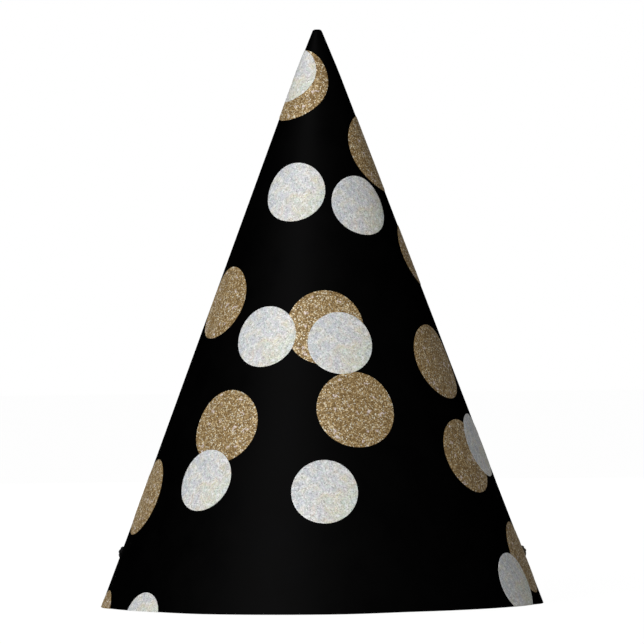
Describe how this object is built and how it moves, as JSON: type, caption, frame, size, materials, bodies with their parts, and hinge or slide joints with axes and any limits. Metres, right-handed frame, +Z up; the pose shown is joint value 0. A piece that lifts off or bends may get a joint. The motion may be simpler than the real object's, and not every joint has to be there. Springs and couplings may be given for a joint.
{
  "type": "party hat",
  "caption": "Cone-shaped cardstock party hat, black outside and white inside, with round gold and white glitter dots, a taped lap seam and an elastic chin cord.",
  "frame": {"origin": "centre of the brim, on the surface the hat stands on", "axes": "+Z up the axis of the cone to the tip, front of the hat towards -Y, lap seam at the back towards +Y, cord holes towards -X and +X"},
  "size_m": [0.1421, 0.1425, 0.1853],
  "materials": {
    "printed_board": "satin",
    "seam_tape": "matte",
    "elastic": "matte",
    "gold_glitter": "satin",
    "white_glitter": "satin"
  },
  "bodies": {
    "root": {"board_cone": "printed_board", "cord_knot_left": "elastic", "cord_knot_right": "elastic", "elastic_cord": "elastic", "gold_glitter_dot_01": "gold_glitter", "gold_glitter_dot_02": "gold_glitter", "gold_glitter_dot_03": "gold_glitter", "gold_glitter_dot_04": "gold_glitter", "gold_glitter_dot_05": "gold_glitter", "gold_glitter_dot_06": "gold_glitter", "gold_glitter_dot_07": "gold_glitter", "gold_glitter_dot_08": "gold_glitter", "gold_glitter_dot_09": "gold_glitter", "gold_glitter_dot_10": "gold_glitter", "gold_glitter_dot_11": "gold_glitter", "gold_glitter_dot_12": "gold_glitter", "gold_glitter_dot_13": "gold_glitter", "gold_glitter_dot_14": "gold_glitter", "gold_glitter_dot_15": "gold_glitter", "gold_glitter_dot_16": "gold_glitter", "gold_glitter_dot_17": "gold_glitter", "gold_glitter_dot_18": "gold_glitter", "gold_glitter_dot_19": "gold_glitter", "gold_glitter_dot_20": "gold_glitter", "gold_glitter_dot_21": "gold_glitter", "seam_tape": "seam_tape", "white_glitter_dot_01": "white_glitter", "white_glitter_dot_02": "white_glitter", "white_glitter_dot_03": "white_glitter", "white_glitter_dot_04": "white_glitter", "white_glitter_dot_05": "white_glitter", "white_glitter_dot_06": "white_glitter", "white_glitter_dot_07": "white_glitter", "white_glitter_dot_08": "white_glitter", "white_glitter_dot_09": "white_glitter", "white_glitter_dot_10": "white_glitter", "white_glitter_dot_11": "white_glitter", "white_glitter_dot_12": "white_glitter", "white_glitter_dot_13": "white_glitter", "white_glitter_dot_14": "white_glitter", "white_glitter_dot_15": "white_glitter", "white_glitter_dot_16": "white_glitter", "white_glitter_dot_17": "white_glitter", "white_glitter_dot_18": "white_glitter", "white_glitter_dot_19": "white_glitter", "white_glitter_dot_20": "white_glitter", "white_glitter_dot_21": "white_glitter"}
  },
  "joints": []
}
